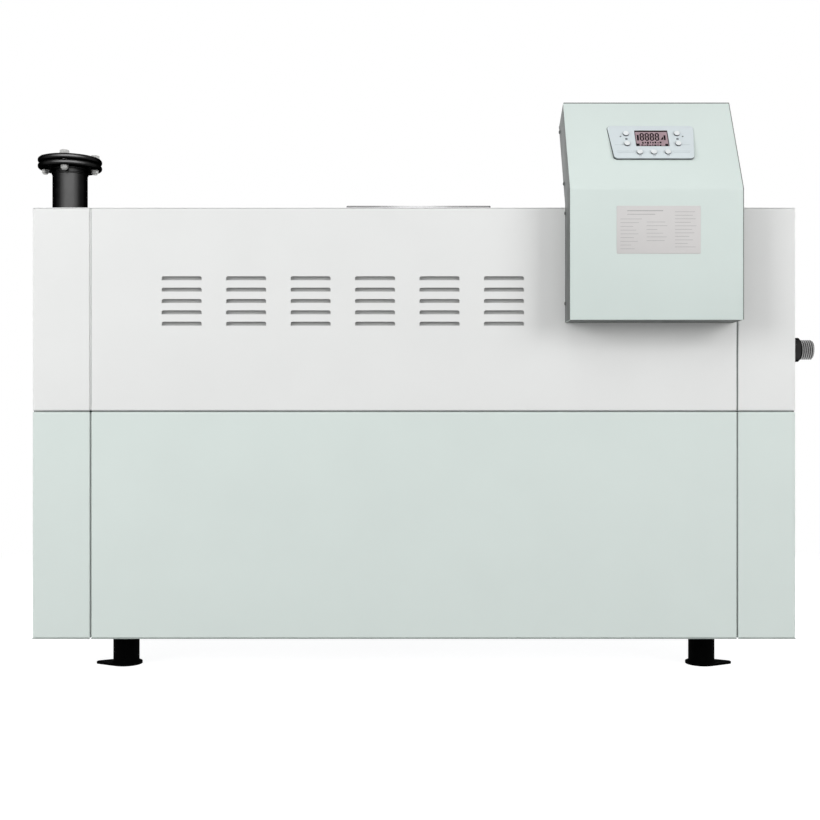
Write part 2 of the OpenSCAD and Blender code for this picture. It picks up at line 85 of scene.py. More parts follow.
SEAM_Z = 0.748
LOWER_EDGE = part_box("front_lower_panel")[0].z

# Depth of the louvres' scoops from the middle, and how dark the painted shade in them is
SCOOP_DEEP = 0.4440
SCOOP_EDGE = 0.4462
SCOOP_PAINTED_SHADE = 0.66

# Gas thread: crest, pitch, depth and bore, and where its painted groove shade begins
CREST = 0.0298
PITCH = 0.0062
DEEP = 0.0024
BORE = 0.0243
NECK = 0.0283
GROOVE_R = 0.0276
RIDGE_R = 0.0292
NIPPLE_STEPS = 72
THREAD_RINGS = 76


def linear(value):
    """The linear value of one sRGB channel given from 0 to 255."""
    share = value / 255
    if share <= 0.04045:
        return share / 12.92
    return ((share + 0.055) / 1.055) ** 2.4


def rgb(red, green, blue):
    return (linear(red), linear(green), linear(blue), 1.0)


def scaled(colour, factor):
    return tuple(min(1.0, c * factor) for c in colour[:3]) + (1.0,)


# Materials


class Surface:
    """A Principled material with fine and broad variation from noise."""

    def __init__(self, name, colour, roughness, metallic=0.0, specular=0.5):
        self.material = bpy.data.materials.new(name)
        self.material.use_nodes = True
        self.material.diffuse_color = colour
        self.nodes = self.material.node_tree.nodes
        self.links = self.material.node_tree.links
        self.shader = self.nodes["Principled BSDF"]
        self.shader.inputs["Metallic"].default_value = metallic
        self.shader.inputs["Specular IOR Level"].default_value = specular
        self.shader.inputs["Base Color"].default_value = colour
        self.shader.inputs["Roughness"].default_value = roughness
        self.colour = colour
        self.roughness = roughness
        self.place = self.nodes.new("ShaderNodeTexCoord").outputs["Object"]

    def stretched(self, stretch):
        mapping = self.nodes.new("ShaderNodeMapping")
        mapping.inputs["Scale"].default_value = stretch
        self.links.new(self.place, mapping.inputs["Vector"])
        return mapping.outputs["Vector"]

    def noise(self, scale, detail=3.0, stretch=None):
        noise = self.nodes.new("ShaderNodeTexNoise")
        noise.inputs["Scale"].default_value = scale
        noise.inputs["Detail"].default_value = detail
        source = self.stretched(stretch) if stretch else self.place
        self.links.new(source, noise.inputs["Vector"])
        return noise.outputs["Fac"]

    def ranged(self, value, low, high, start=0.3, end=0.7):
        node = self.nodes.new("ShaderNodeMapRange")
        node.inputs["From Min"].default_value = start
        node.inputs["From Max"].default_value = end
        node.inputs["To Min"].default_value = low
        node.inputs["To Max"].default_value = high
        self.links.new(value, node.inputs["Value"])
        return node.outputs["Result"]

    def mottle(self, scale, spread, stretch=None, detail=4.0):
        """Varies the colour by a share of itself."""
        mix = self.nodes.new("ShaderNodeMix")
        mix.data_type = "RGBA"
        mix.inputs[6].default_value = scaled(self.colour, 1 - spread)
        mix.inputs[7].default_value = scaled(self.colour, 1 + spread)
        factor = self.ranged(self.noise(scale, detail, stretch), 0.0, 1.0)
        self.links.new(factor, mix.inputs[0])
        self.links.new(mix.outputs[2], self.shader.inputs["Base Color"])
        return self

    def sheen(self, scale, spread, stretch=None, detail=3.0):
        """Varies the roughness either way."""
        low = max(0.02, self.roughness - spread)
        value = self.ranged(self.noise(scale, detail, stretch), low, self.roughness + spread)
        self.links.new(value, self.shader.inputs["Roughness"])
        return self

    def bumpy(self, scale, height, strength=1.0, stretch=None, detail=2.0):
        bump = self.nodes.new("ShaderNodeBump")
        bump.inputs["Strength"].default_value = strength
        bump.inputs["Distance"].default_value = height
        self.links.new(self.noise(scale, detail, stretch), bump.inputs["Height"])
        previous = self.shader.inputs["Normal"]
        if previous.is_linked:
            self.links.new(previous.links[0].from_socket, bump.inputs["Normal"])
        self.links.new(bump.outputs["Normal"], self.shader.inputs["Normal"])
        return self

    def overlaid(self, mask, colour):
        """Lays another colour over the present one where the mask is one."""
        mix = self.nodes.new("ShaderNodeMix")
        mix.data_type = "RGBA"
        mix.inputs[7].default_value = colour
        under = self.shader.inputs["Base Color"].links[0].from_socket
        self.links.new(mask, mix.inputs[0])
        self.links.new(under, mix.inputs[6])
        self.links.new(mix.outputs[2], self.shader.inputs["Base Color"])
        return self


def finish(name, colour, roughness, mottle, sheen, bump=None, metallic=0.0, specular=0.5):
    """A surface with the arguments of its mottle, its sheen and, where it has one, its bump."""
    surface = Surface(name, colour, roughness, metallic, specular)
    surface.mottle(*mottle).sheen(*sheen)
    if bump:
        surface.bumpy(*bump)
    return surface


def powder(name, colour, roughness=0.42):
    """Powder coat: fine orange peel, a little cloudiness in the gloss."""
    return finish(
        name, colour, roughness, (5.0, 0.012), (18.0, 0.05), (620.0, 0.00025, 0.35), specular=0.3
    )


def louvred(name, colour):
    """Powder coat with a grey painted shade in the scoops behind the sheet."""
    coat = powder(name, colour)
    axes = coat.nodes.new("ShaderNodeSeparateXYZ")
    coat.links.new(coat.place, axes.inputs[0])
    depth = coat.nodes.new("ShaderNodeMath")
    depth.operation = "ABSOLUTE"
    coat.links.new(axes.outputs["Y"], depth.inputs[0])
    behind = coat.ranged(depth.outputs[0], 1.0, 0.0, SCOOP_DEEP, SCOOP_EDGE)
    return coat.overlaid(behind, scaled(colour, SCOOP_PAINTED_SHADE))


def blackened(name, gloss, roughness):
    """Black coat with a dim gloss, which is darkest along its edges."""
    colour = (gloss, gloss, gloss, 1.0)
    coat = finish(
        name, colour, roughness, (30.0, 0.06), (60.0, 0.04), (260.0, 0.0001, 0.15), metallic=1.0
    )
    coat.shader.inputs["Specular Tint"].default_value = (0.0, 0.0, 0.0, 1.0)
    return coat


def threaded(name, crest, groove):
    """Steel that darkens from crest to root with the distance from the nipple's axis: painted shade
    in the thread's grooves.
    """
    surface = finish(
        name, crest, 0.3, (90.0, 0.10), (200.0, 0.08), (700.0, 0.0002, 0.3), metallic=1.0
    )
    shift = surface.nodes.new("ShaderNodeVectorMath")
    shift.operation = "SUBTRACT"
    shift.inputs[1].default_value = (0.0, GAS_Y, GAS_Z)
    surface.links.new(surface.place, shift.inputs[0])
    flat = surface.nodes.new("ShaderNodeVectorMath")
    flat.operation = "MULTIPLY"
    flat.inputs[1].default_value = (0.0, 1.0, 1.0)
    surface.links.new(shift.outputs[0], flat.inputs[0])
    reach = surface.nodes.new("ShaderNodeVectorMath")
    reach.operation = "LENGTH"
    surface.links.new(flat.outputs[0], reach.inputs[0])
    groove_shade_mask = surface.ranged(reach.outputs["Value"], 1.0, 0.0, GROOVE_R, RIDGE_R)
    return surface.overlaid(groove_shade_mask, groove)


white_paint = powder("white_powder_coat", rgb(236, 237, 236)).material
louvre_paint_shaded = louvred("louvred_coat_painted_shade", rgb(236, 237, 236)).material
mint_paint = powder("mint_powder_coat", rgb(222, 232, 228)).material
box_paint = powder("box_powder_coat", rgb(217, 228, 224)).material
cheek_painted_shade = powder("box_cheek_painted_shade", rgb(100, 103, 102), 0.5).material
hem_painted_shade = powder("panel_hem_painted_shade", rgb(162, 170, 167), 0.5).material

black_paint = blackened("black_enamel", 0.008, 0.34).material
flange_paint = blackened("black_flange_enamel", 0.0165, 0.30).material
black_iron = blackened("blackened_iron", 0.030, 0.40).material
foot_paint = finish(
    "black_foot_paint", (0.0012, 0.0012, 0.0012, 1.0), 0.75,
    (40.0, 0.3), (70.0, 0.08), (400.0, 0.0003, 0.3), specular=0.012,
).material
frame_paint = finish(
    "grey_primer", rgb(124, 127, 130), 0.7,
    (12.0, 0.08), (30.0, 0.06), (500.0, 0.0003, 0.4), specular=0.25,
).material

zinc_sheet = finish(
    "zinc_sheet", rgb(190, 193, 196), 0.38,
    (45.0, 0.10, None, 1.0), (45.0, 0.08, None, 1.0), (60.0, 0.0003, 0.15), metallic=0.9,
).material
zinc_bolt = finish(
    "zinc_fastener", rgb(186, 186, 184), 0.42,
    (160.0, 0.08), (220.0, 0.07), (900.0, 0.0002, 0.3), metallic=0.55, specular=0.3,
).material
stainless = finish(
    "polished_stainless", rgb(150, 150, 151), 0.1,
    (8.0, 0.03), (40.0, 0.05, (1.0, 1.0, 14.0)), (90.0, 0.0002, 0.2, (1.0, 1.0, 16.0)), metallic=1.0,
).material
steel = finish(
    "machined_steel", rgb(178, 180, 182), 0.34,
    (60.0, 0.06), (120.0, 0.07), (300.0, 0.0002, 0.25), metallic=1.0,
).material
thread_steel_groove_shade = threaded("threaded_steel_groove_shade", rgb(166, 166, 166), rgb(74, 73, 72)).material

panel_film = finish(
    "panel_film", rgb(213, 222, 225), 0.34,
    (20.0, 0.01), (60.0, 0.05), (1400.0, 0.0001, 0.25), specular=0.4,
).material
# Darker film on the panel's side walls and in the window's recess: painted shade
film_edge_painted_shade = finish(
    "film_edge_painted_shade", rgb(128, 134, 136), 0.45,
    (60.0, 0.03), (90.0, 0.05), (1200.0, 0.0001, 0.25), specular=0.3,
).material
button_plastic = finish(
    "button_plastic", rgb(231, 235, 236), 0.4,
    (60.0, 0.015), (120.0, 0.05), (1600.0, 0.0001, 0.25), specular=0.4,
).material
# Dark grey of the button rings: painted shade
button_skirt_painted_shade = finish(
    "button_skirt_painted_shade", rgb(84, 88, 90), 0.55,
    (90.0, 0.05), (120.0, 0.05), (1600.0, 0.0001, 0.25), specular=0.25,
).material
lcd_glass = finish(
    "display_glass", rgb(166, 143, 149), 0.2,
    (40.0, 0.05), (90.0, 0.04), (60.0, 0.0001, 0.1), specular=0.25,
).material
lcd_print_and_shade = finish(
    "display_segments_and_shade", rgb(18, 8, 12), 0.4, (300.0, 0.1), (200.0, 0.05), specular=0.12
).material
panel_print = finish(
    "panel_print", rgb(92, 97, 100), 0.5, (200.0, 0.08), (200.0, 0.05), specular=0.2
).material
panel_lines = finish(
    "panel_lines", rgb(178, 187, 190), 0.45, (120.0, 0.04), (160.0, 0.05), specular=0.3
).material
label_plate = finish(
    "label_plate", rgb(211, 209, 208), 0.42,
    (14.0, 0.015), (70.0, 0.05), (1200.0, 0.0001, 0.2), specular=0.3,
).material
label_rules = finish(
    "label_rules", rgb(170, 169, 170), 0.5, (160.0, 0.05), (160.0, 0.05), specular=0.2
).material

foam_seal = finish(
    "foam_seal", rgb(128, 133, 131), 0.9,
    (240.0, 0.12), (200.0, 0.05), (900.0, 0.0006, 0.6), specular=0.1,
).material
# Black of the seal under the control panel: painted shadow
black_seal_painted_shadow = finish(
    "black_seal_painted_shadow", (0.016, 0.016, 0.017, 1.0), 0.8,
    (150.0, 0.2), (180.0, 0.06), (900.0, 0.0003, 0.4), specular=0.15,
).material
gasket_fibre = finish(
    "pressed_fibre", (0.020, 0.020, 0.020, 1.0), 0.85,
    (180.0, 0.4), (200.0, 0.05), (700.0, 0.0005, 0.6), specular=0.2,
).material

NODE_MATERIALS = {
    "base_frame": frame_paint,
    "bottom_pan": zinc_sheet,
    "foot_front_left": foot_paint,
    "foot_front_right": foot_paint,
    "foot_rear_left": foot_paint,
    "foot_rear_right": foot_paint,
    "frame_posts": frame_paint,
    "front_rails": frame_paint,
    "rear_rails": frame_paint,
    "end_rails": frame_paint,
    "vessel_shell": steel,
    "vessel_end_left": steel,
    "vessel_end_right": steel,
    "vessel_saddles": frame_paint,
    "front_lower_panel": mint_paint,
    "front_upper_panel": louvre_paint_shaded,
    "rear_lower_panel": mint_paint,
    "rear_upper_panel": louvre_paint_shaded,
    "left_lower_panel": mint_paint,
    "left_upper_panel": white_paint,
    "right_lower_panel": mint_paint,
    "right_upper_panel": white_paint,
    "top_panel": white_paint,
    "control_box": box_paint,
    # The back plate takes the same grey painted shade as the cheeks
    "control_box_back": cheek_painted_shade,
    "control_panel": panel_film,
    "display_window": lcd_glass,
    "panel_buttons": button_plastic,
    "supply_pipe": black_paint,
    "supply_flange": flange_paint,
    "supply_gasket": gasket_fibre,
    "companion_flange": flange_paint,
    "return_pipe": black_paint,
    "return_flange": flange_paint,
    "flue_collar": stainless,
    "flue_socket": stainless,
    "flue_duct": steel,
    "gas_pipe": steel,
    "gas_socket": black_iron,
    "gas_nipple": thread_steel_groove_shade,
}
for node, material in NODE_MATERIALS.items():
    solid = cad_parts[node]
    if not solid.material_slots:
        solid.data.materials.append(material)
    for holder in solid.material_slots:
        holder.material = material


# Mesh helpers


def piece(mesh, name, materials, angle=32):
    """Turns a mesh in the making into a piece that rides with the boiler."""
    bmesh.ops.recalc_face_normals(mesh, faces=mesh.faces)
    data = bpy.data.meshes.new(name)
    mesh.to_mesh(data)
    mesh.free()
    for material in materials:
        data.materials.append(material)
    data.shade_smooth()
    data.set_sharp_from_angle(angle=math.radians(angle))
    made = bpy.data.objects.new(name, data)
    scene.collection.objects.link(made)
    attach(made, "root")
    return made


def turned(mesh, profile, place, steps=40, closed=False, index=0):
    """Turns (radius, height) pairs about Z and puts the result at a place."""
    rings = []
    for radius, height in profile:
        if radius < 1e-7:
            rings.append([mesh.verts.new(place @ Vector((0.0, 0.0, height)))])
            continue
        ring = []
        for step in range(steps):
            turn = 2 * math.pi * step / steps
            point = Vector((radius * math.cos(turn), radius * math.sin(turn), height))
            ring.append(mesh.verts.new(place @ point))
        rings.append(ring)
    pairs = list(zip(rings, rings[1:]))
    if closed:
        pairs.append((rings[-1], rings[0]))
    for near, far in pairs:
        for step in range(steps):
            after = (step + 1) % steps
            corners = [
                near[step % len(near)],
                near[after % len(near)],
                far[after % len(far)],
                far[step % len(far)],
            ]
            corners = list(dict.fromkeys(corners))
            if len(corners) > 2:
                mesh.faces.new(corners).material_index = index


def extruded(mesh, outline, low, high, place, index=0):
    """Stands an outline up from one height to another."""
    bottom = [mesh.verts.new(place @ Vector((x, y, low))) for x, y in outline]
    top = [mesh.verts.new(place @ Vector((x, y, high))) for x, y in outline]
    faces = [mesh.faces.new(list(reversed(bottom))), mesh.faces.new(top)]
    for i in range(len(outline)):
        j = (i + 1) % len(outline)
        faces.append(mesh.faces.new([bottom[i], bottom[j], top[j], top[i]]))
    for face in faces:
        face.material_index = index
    return faces


def arc(x, y, radius, start, end, steps=6):
    """Points along an arc, with its ends in degrees."""
    points = []
    for step in range(steps + 1):
        turn = math.radians(start + (end - start) * step / steps)
        points.append((x + radius * math.cos(turn), y + radius * math.sin(turn)))
    return points


def rounded(width, height, radius, x=0.0, y=0.0, steps=5):
    """A rectangle with round corners."""
    right = width / 2 - radius
    top = height / 2 - radius
    return (
        arc(x + right, y + top, radius, 0, 90, steps)
        + arc(x - right, y + top, radius, 90, 180, steps)
        + arc(x - right, y - top, radius, 180, 270, steps)
        + arc(x + right, y - top, radius, 270, 360, steps)
    )


def bar(width, height, x, y):
    """A rectangle about a middle."""
    half_w = width / 2
    half_h = height / 2
    return [
        (x - half_w, y - half_h),
        (x + half_w, y - half_h),
        (x + half_w, y + half_h),
        (x - half_w, y + half_h),
    ]


def bevelled(mesh, width, segments=3, angle=30):
    """Rounds off the edges that are sharper than an angle in degrees."""
    sharp = [
        edge
        for edge in mesh.edges
        if len(edge.link_faces) == 2 and edge.calc_face_angle(0.0) > math.radians(angle)
    ]
    bmesh.ops.bevel(
        mesh, geom=sharp, offset=width, segments=segments, profile=0.5, affect="EDGES",
        clamp_overlap=True,
    )


def facing(point, axis):
    """A place whose Z runs along an axis."""
    turn = Vector(axis).to_track_quat("Z", "Y").to_matrix().to_4x4()
    return Matrix.Translation(Vector(point)) @ turn


# Control box: the bent front skin, with grey painted shade on its cheeks, its underside and along
# its upper and right edges


def box_point(depth, up):
    """Y and Z on the slope, so far behind its face and so far up from the bend."""
    return (
        BOX_FRONT + up * math.sin(LEAN) + depth * math.cos(LEAN),
        BOX_BEND + up * math.cos(LEAN) - depth * math.sin(LEAN),
    )


def knee_point(depth):
    """Y and Z of the bend, so far behind the face."""
    return (BOX_FRONT + depth, BOX_BEND - depth * math.tan(LEAN / 2))


# The painted skin stops short of the grey body at the upper and right edges, so the grey shows there
# as lines of painted shade
SKIN_TOP = BOX_SLOPE - 0.0025
BODY_TOP = BOX_SLOPE + 0.0012
BODY_BACK = 0.0015
BODY_STEP = 0.002
knee_y, knee_z = knee_point(KNEE)
box_profile = [(BOX_FRONT, BOX_BOTTOM)]
box_profile += arc(knee_y, knee_z, KNEE, 180, 180 - math.degrees(LEAN), 10)
box_profile += [box_point(0.0, SKIN_TOP), box_point(BOX_DEEP, SKIN_TOP)]
box_profile += [knee_point(BOX_DEEP), (BOX_FRONT + BOX_DEEP, BOX_BOTTOM)]

across = Matrix(((0, 0, 1, 0), (1, 0, 0, 0), (0, 1, 0, 0), (0, 0, 0, 1)))
mesh = bmesh.new()
extruded(mesh, box_profile, BOX_LEFT, BOX_RIGHT, across)
bmesh.ops.recalc_face_normals(mesh, faces=mesh.faces)
bevelled(mesh, 0.0022, 3, 20)
mesh.normal_update()
# The cheeks and the underside take the grey, as painted shade
for face in mesh.faces:
    if abs(face.normal.x) > 0.9 or face.normal.z < -0.9:
        face.material_index = 1
body_profile = [(BOX_FRONT + BODY_BACK, BOX_BOTTOM + BODY_STEP), knee_point(BODY_BACK)]
body_profile += [box_point(BODY_BACK, BODY_TOP), box_point(BOX_DEEP, BODY_TOP)]
body_profile += [knee_point(BOX_DEEP), (BOX_FRONT + BOX_DEEP, BOX_BOTTOM + BODY_STEP)]
extruded(mesh, body_profile, BOX_LEFT + BODY_STEP, BOX_RIGHT + BODY_STEP, across, 1)
control_box = piece(mesh, "control_box_shell", [box_paint, cheek_painted_shade])
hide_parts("control_box")

# Screws in the cheeks of the control box, in the cheeks' grey painted shade
SCREW_WASHER = [(0.0062, -0.0005), (0.0062, 0.0006), (0.0058, 0.0010), (0.0, 0.0010)]
SCREW_HEAD = [(0.0050, 0.0), (0.0050, 0.0022), (0.0045, 0.0032), (0.0034, 0.0038)]
SCREW_HEAD += [(0.0020, 0.0040), (0.0020, 0.0022), (0.0, 0.0022)]
screw_spots = [(-0.4655, 1.057), (-0.4655, 1.316)]
screw_spots += [box_point(0.088, 0.0875), box_point(0.088, 0.282)]
mesh = bmesh.new()
for side, axis in ((BOX_LEFT, (-1, 0, 0)), (BOX_RIGHT, (1, 0, 0))):
    for y, z in screw_spots:
        spot = facing((side, y, z), axis)
        turned(mesh, SCREW_WASHER, spot, 28)
        turned(mesh, SCREW_HEAD, spot, 28)
piece(mesh, "control_box_screws", [cheek_painted_shade])

# Control panel on the slope: a wedge with a window, whose side walls and window walls are painted
# darker as shade
slope = Matrix(
    (
        (1, 0, 0, PANEL_X),
        (0, math.sin(LEAN), -math.cos(LEAN), BOX_FRONT + PANEL_UP * math.sin(LEAN)),
        (0, math.cos(LEAN), math.sin(LEAN), BOX_BEND + PANEL_UP * math.cos(LEAN)),
        (0, 0, 0, 1),
    )
)
fall = (WEDGE_HIGH - WEDGE_LOW) / PANEL_H


def on_panel(x, up):
    """A place on the wedge's face, with Z away from it."""
    shift = Matrix.Translation((x, up, WEDGE_LOW + fall * up))
    return slope @ shift @ Matrix.Rotation(math.atan(fall), 4, "X")


def panel_outline(inset=0.0):
    low = PANEL_LOW / 2 - PANEL_R
    high = PANEL_HIGH / 2 - PANEL_R
    top = PANEL_H - PANEL_R
    r = PANEL_R - inset
    return (
        arc(low, PANEL_R, r, -90, 0, 8)
        + arc(high, top, r, 0, 90, 8)
        + arc(-high, top, r, 90, 180, 8)
        + arc(-low, PANEL_R, r, 180, 270, 8)
    )


def bridged(mesh, near, far, index=0):
    for i in range(len(near)):
        j = (i + 1) % len(near)
        mesh.faces.new([near[i], near[j], far[j], far[i]]).material_index = index


def looped(mesh, outline, height):
    return [mesh.verts.new(slope @ Vector((x, y, height(y)))) for x, y in outline]


def filled(mesh, *loops):
    edges = []
    for loop in loops:
        for i in range(len(loop)):
            edges.append(mesh.edges.get((loop[i], loop[(i + 1) % len(loop)])))
    bmesh.ops.triangle_fill(mesh, use_beauty=True, use_dissolve=False, edges=edges)


def face_height(drop):
    """Heights a little below the wedge's face."""
    return lambda y: WEDGE_LOW + fall * y - drop


def share_height(share):
    """Heights at a share of the wedge's own."""
    return lambda y: share * (WEDGE_LOW + fall * y)


def window_outline(grow):
    return rounded(LCD_W + 2 * grow, LCD_H + 2 * grow, 0.0012 + grow, 0.0, LCD_MID)


FILM_BACK = share_height(0.32)
SEAL_MIDDLE = share_height(0.12)
SEAL_TOP = share_height(0.30)


def on_slope(y):
    return 0.0


mesh = bmesh.new()
outer = [looped(mesh, panel_outline(), FILM_BACK)]
for inset, drop in ((0.0, 0.0016), (0.0004, 0.0008), (0.0010, 0.0003), (0.0019, 0.0)):
    outer.append(looped(mesh, panel_outline(inset), face_height(drop)))
bridged(mesh, outer[0], outer[1], 1)
for near, far in zip(outer[1:], outer[2:]):
    bridged(mesh, near, far)
window = [
    looped(mesh, window_outline(0.0006), face_height(0.0)),
    looped(mesh, window_outline(0.0002), face_height(0.0004)),
    looped(mesh, window_outline(0.0), face_height(0.0008)),
    looped(mesh, window_outline(0.0), FILM_BACK),
]
bridged(mesh, window[0], window[1])
for near, far in zip(window[1:], window[2:]):
    bridged(mesh, near, far, 1)
filled(mesh, outer[-1], window[0])
filled(mesh, outer[0], window[-1])
control_panel = piece(mesh, "control_panel_film", [panel_film, film_edge_painted_shade], 40)
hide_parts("control_panel")

# Black seal under the control panel, a painted shadow line along its edges, standing out further at
# the left than at the right
SEAL_SHADOW_LEFT = 0.0018
SEAL_SHADOW_RIGHT = 0.0008


def seal_outline(inset):
    return [(x - SEAL_SHADOW_LEFT if x < 0 else x + SEAL_SHADOW_RIGHT, y) for x, y in panel_outline(inset)]


mesh = bmesh.new()
seal = [
    looped(mesh, seal_outline(0.0008), on_slope),
    looped(mesh, seal_outline(0.0005), SEAL_MIDDLE),
    looped(mesh, seal_outline(0.0008), SEAL_TOP),
]
for near, far in zip(seal, seal[1:]):
    bridged(mesh, near, far)
opening = [
    looped(mesh, window_outline(0.003), on_slope),
    looped(mesh, window_outline(0.003), SEAL_TOP),
]
bridged(mesh, opening[0], opening[1])
filled(mesh, seal[-1], opening[1])
filled(mesh, seal[0], opening[0])
piece(mesh, "panel_seal", [black_seal_painted_shadow], 40)

# Push buttons as low domes in shallow rings, the rings' dark grey being painted shade below each
# dome
BUTTONS = [(x, LCD_MID + rise) for x in (-0.073, 0.073) for rise in (-0.0225, 0.0162)]
BUTTONS += [(x, 0.0208) for x in (-0.0405, -0.0005, 0.0395)]
skirt = [(0.0085, -0.0008), (0.0085, 0.0038), (0.0082, 0.0041), (0.0072, 0.0041)]
dome = [(0.0072, 0.0036), (0.0080, 0.0038), (0.0083, 0.0041), (0.0082, 0.0045), (0.0077, 0.0049)]
dome += [(0.0064, 0.0052), (0.0046, 0.0054), (0.0024, 0.0055), (0.0, 0.0055)]
mesh = bmesh.new()
for x, up in BUTTONS:
    turned(mesh, skirt, on_panel(x, up), 40, index=1)
    turned(mesh, dome, on_panel(x, up), 40)
buttons = piece(mesh, "panel_push_buttons", [button_plastic, button_skirt_painted_shade], 50)
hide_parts("panel_buttons")

# Small lamps, button marks and thin lines on the panel
SMALL_LAMP = [(0.0024, -0.0002), (0.0024, 0.0003), (0.0016, 0.0007), (0.0, 0.0008)]


def printed(mesh, x, up, width, height, thick):
    extruded(mesh, bar(width, height, 0.0, 0.0), -0.0002, thick, on_panel(x, up))


mesh = bmesh.new()
for x in (-0.089, 0.089):
    turned(mesh, SMALL_LAMP, on_panel(x, 0.0825), 20)
for x in (-0.073, 0.073):
    printed(mesh, x, LCD_MID - 0.003, 0.0066, 0.0058, 0.00012)
for x in (-0.040, 0.0, 0.040):
    printed(mesh, x, 0.0080, 0.0075, 0.0014, 0.00012)
piece(mesh, "panel_marks", [panel_print])

mesh = bmesh.new()
for x, width in ((-0.080, 0.052), (0.079, 0.050)):
    printed(mesh, x, 0.0262, width, 0.0011, 0.0001)
    printed(mesh, x, 0.0205, width * 0.9, 0.0011, 0.0001)
for x, width in ((-0.090, 0.036), (0.089, 0.034)):
    printed(mesh, x, 0.0505, width, 0.0011, 0.0001)
piece(mesh, "panel_thin_lines", [panel_lines])

# Display: four plain digits, a few bars and two rows of small marks, in a thin dark frame that is
# painted shade of the recess, thickest at the top
glass = on_panel(0.0, LCD_MID) @ Matrix.Translation((0, 0, -0.001))


def print_and_shade(mesh, outline):
    """Dark print on the glass, and the painted shade along the window's edges."""
    extruded(mesh, outline, -0.0001, 0.00012, glass)


def shown(mesh, outline):
    """Dark print that leans a little, as digits do."""
    print_and_shade(mesh, [(x + 0.04 * y, y) for x, y in outline])


def digit(mesh, x, y, width, height, stroke):
    """A digit with all seven of its bars."""
    half_w = (width - stroke) / 2
    half_h = (height - stroke) / 2
    flat = width - stroke * 1.3
    tall = half_h - stroke * 0.5
    for row in (-1, 0, 1):
        shown(mesh, bar(flat, stroke, x, y + row * half_h))
    for side in (-1, 1):
        for row in (-0.5, 0.5):
            shown(mesh, bar(stroke, tall, x + side * half_w, y + row * half_h))


mesh = bmesh.new()
for i in range(4):
    digit(mesh, -0.0280 + 0.0144 * i, 0.0060, 0.0124, 0.0300, 0.0041)
shown(mesh, bar(0.0056, 0.0220, -0.0395, 0.0030))
shown(mesh, bar(0.0052, 0.0190, 0.0370, 0.0030))
shown(mesh, [(0.0245, -0.0050), (0.0330, -0.0050), (0.0330, 0.0080)])
shown(mesh, bar(0.0085, 0.0090, -0.0405, -0.0245))
shown(mesh, bar(0.0085, 0.0080, 0.0410, -0.0250))
MARKS = ((5, 8), (4, 6), (6, 9), (3, 8), (6, 5), (5, 8), (4, 4), (6, 7))
for i, (width, height) in enumerate(MARKS):
    y = -0.0170 + 0.0012 * (i % 2)
    shown(mesh, bar(width / 1100, height / 1100, -0.0265 + 0.0072 * i, y))
for i, (width, height) in enumerate(reversed(MARKS)):
    y = -0.0255 - 0.0010 * (i % 2)
    shown(mesh, bar(width / 1000, height / 1700, -0.0285 + 0.0074 * i, y))
# Dark bars along the window's edges: painted shade of the recess, thickest at the top
print_and_shade(mesh, bar(LCD_W - 0.0006, 0.0046, 0.0, LCD_H / 2 - 0.0027))
print_and_shade(mesh, bar(LCD_W - 0.0006, 0.0014, 0.0, -LCD_H / 2 + 0.0011))
print_and_shade(mesh, bar(0.0014, LCD_H - 0.0090, -LCD_W / 2 + 0.0011, -0.0016))
print_and_shade(mesh, bar(0.0018, LCD_H - 0.0090, LCD_W / 2 - 0.0013, -0.0016))
piece(mesh, "display_marks", [lcd_print_and_shade])

# Bare plate on the upright face of the control box, with plain rules
upright = Matrix(((1, 0, 0, 0.6825), (0, 0, -1, BOX_FRONT), (0, 1, 0, 1.255), (0, 0, 0, 1)))
mesh = bmesh.new()
extruded(mesh, rounded(0.235, 0.134, 0.003), -0.0002, 0.0008, upright)
bmesh.ops.recalc_face_normals(mesh, faces=mesh.faces)
bevelled(mesh, 0.0003, 2, 40)
piece(mesh, "bare_label_plate", [label_plate])


def ruled(mesh, left, top, lengths, step, thick=0.0010):
    """A column of plain rules, flush on the left."""
    for row, length in enumerate(lengths):
        y = top - step * row
        extruded(mesh, bar(length, thick, left + length / 2, y), 0.0007, 0.00092, upright)


LEFT_RULES = (0.060, 0.052, 0.036, 0.044, 0.050, 0.038, 0.048, 0.030, 0.040)
MIDDLE_RULES = (0.052, 0.058, 0.030, 0.046, 0.056, 0.050)
RIGHT_RULES = (0.056, 0.050, 0.058, 0.044, 0.060, 0.048, 0.054, 0.040, 0.050, 0.036, 0.058)
mesh = bmesh.new()
ruled(mesh, -0.0880, 0.0530, (0.100,), 0.01, 0.0022)
ruled(mesh, -0.0880, 0.0430, (0.078,), 0.01, 0.0014)
ruled(mesh, -0.1070, 0.0300, LEFT_RULES, 0.0104)
ruled(mesh, -0.0340, 0.0215, MIDDLE_RULES, 0.0104)
ruled(mesh, 0.0450, 0.0500, RIGHT_RULES, 0.0098)
piece(mesh, "label_rules", [label_rules])

# Foam seals behind the seams between the panels
SEAL_HALF = 0.0018
SEAL_OUT = 0.4475
SEAL_IN = 0.4360
SEAL_END = 1.0955
SEAL_LOW = 0.102
SEAL_HIGH = 1.3325
CROSSING = 0.004


def strip(mesh, low, high, index=0):
    """A block between two corners."""
    middle = ((low[0] + high[0]) / 2, (low[1] + high[1]) / 2)
    outline = bar(high[0] - low[0], high[1] - low[1], *middle)
    extruded(mesh, outline, low[2], high[2], Matrix.Identity(4), index)


def front_and_rear(out, into):
    """The Y range of a strip at the front, and of its twin at the rear."""
    return [sorted((face * out, face * into)) for face in (-1, 1)]


def stretches(end, gap):
    """The X ranges of the three panels across the cabinet."""
    return ((-end, -SEAM - gap), (-SEAM + gap, SEAM - gap), (SEAM + gap, end))


